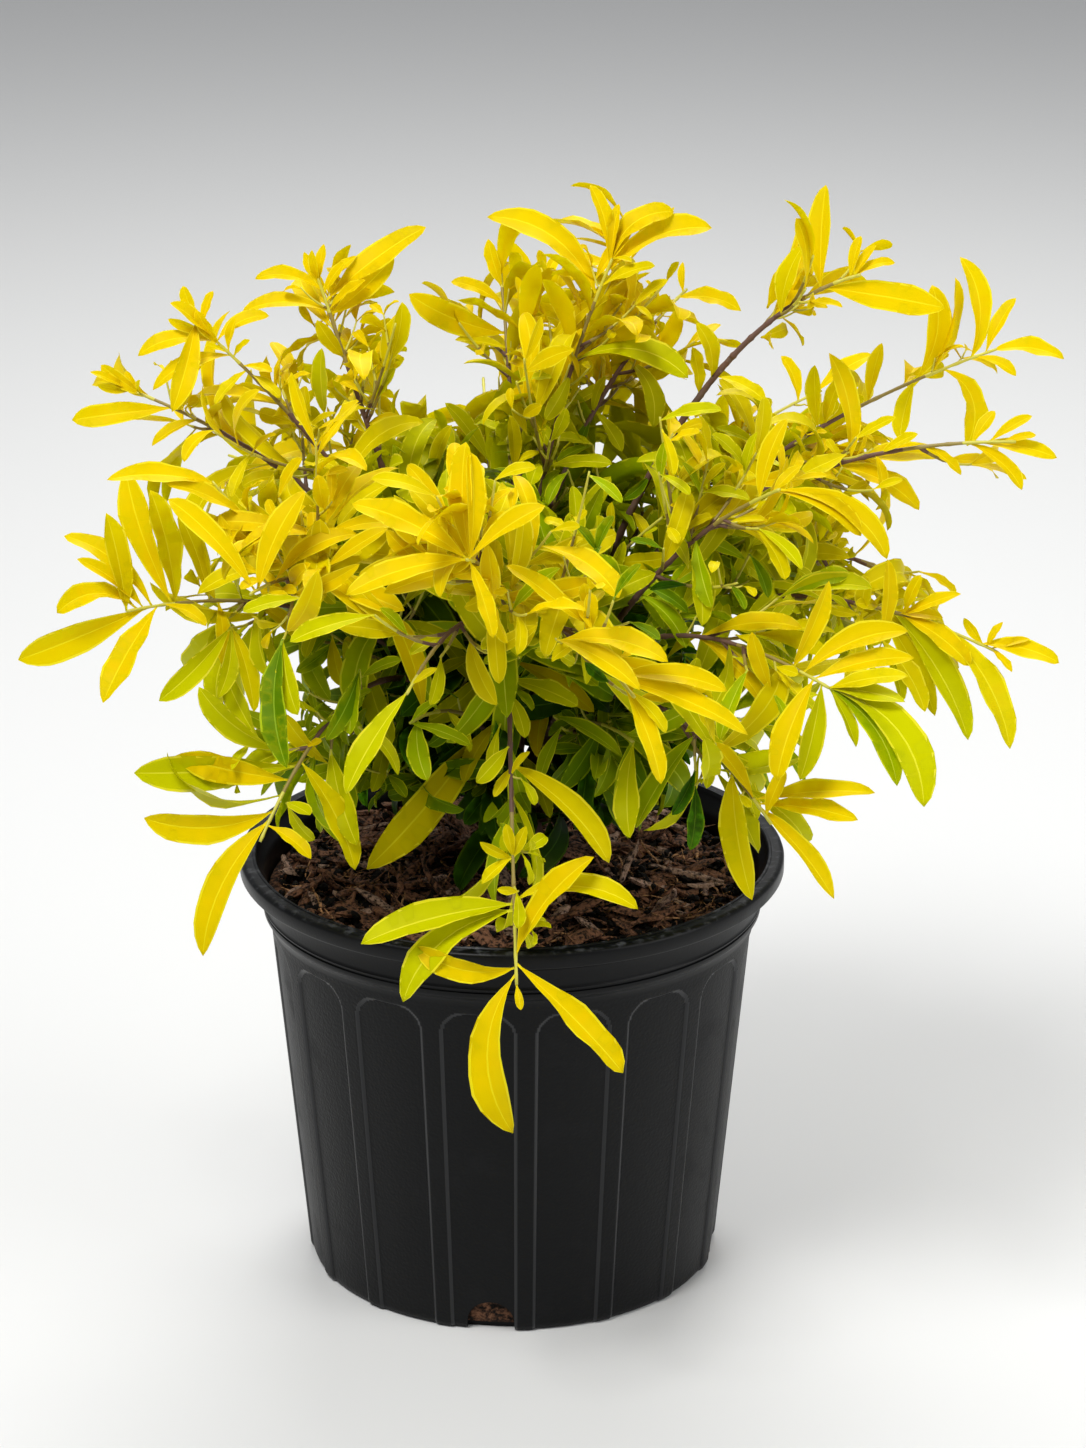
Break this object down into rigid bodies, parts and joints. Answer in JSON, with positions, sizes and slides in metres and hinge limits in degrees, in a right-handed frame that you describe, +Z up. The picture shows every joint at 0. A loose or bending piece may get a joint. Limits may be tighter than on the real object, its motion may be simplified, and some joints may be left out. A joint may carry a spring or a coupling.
{
  "type": "potted shrub",
  "caption": "Young golden-leaved shrub with long arching shoots and lance-shaped leaves, growing in a ribbed black nursery pot of bark mulch.",
  "frame": {"origin": "centre of the pot's flat underside", "axes": "+Z up, -Y towards the front of the plant, +X to the right seen from the front"},
  "size_m": [0.5268, 0.4413, 0.5764],
  "materials": {
    "pot_plastic": "satin",
    "mulch": "rough",
    "bark": "rough",
    "foliage": "satin"
  },
  "bodies": {
    "root": {"pot": "pot_plastic", "soil": "mulch", "main_stem": "bark", "bough_left": "bark", "bough_top": "bark", "bough_right": "bark", "bough_front_droop": "bark", "bough_right_high": "bark", "bough_left_high": "bark", "bough_back": "bark", "bough_front_right": "bark", "bough_back_left": "bark", "bough_back_right": "bark", "bough_left_front": "bark", "bough_low_left": "bark", "bough_left_upper": "bark", "bough_top_left": "bark", "bough_long_right": "bark", "bough_right_mid": "bark", "bough_right_front": "bark", "bough_low_right": "bark", "bough_right_back_low": "bark", "bough_top_back_left": "bark", "bough_top_back_right": "bark", "bough_front_left": "bark", "bough_front_centre": "bark", "bough_front_mid_right": "bark", "foliage_left": "foliage", "foliage_top": "foliage", "foliage_right": "foliage", "foliage_front_droop": "foliage", "foliage_right_high": "foliage", "foliage_left_high": "foliage", "foliage_back": "foliage", "foliage_front_right": "foliage", "foliage_back_left": "foliage", "foliage_back_right": "foliage", "foliage_left_front": "foliage", "foliage_low_left": "foliage", "foliage_left_upper": "foliage", "foliage_top_left": "foliage", "foliage_long_right": "foliage", "foliage_right_mid": "foliage", "foliage_right_front": "foliage", "foliage_low_right": "foliage", "foliage_right_back_low": "foliage", "foliage_top_back_left": "foliage", "foliage_top_back_right": "foliage", "foliage_front_left": "foliage", "foliage_front_centre": "foliage", "foliage_front_mid_right": "foliage", "foliage_inner_left": "foliage", "foliage_inner_front_left": "foliage", "foliage_inner_front_right": "foliage", "foliage_inner_right": "foliage", "foliage_inner_back_right": "foliage", "foliage_inner_back": "foliage", "foliage_inner_upper": "foliage", "foliage_inner_upper_right": "foliage"}
  },
  "joints": []
}
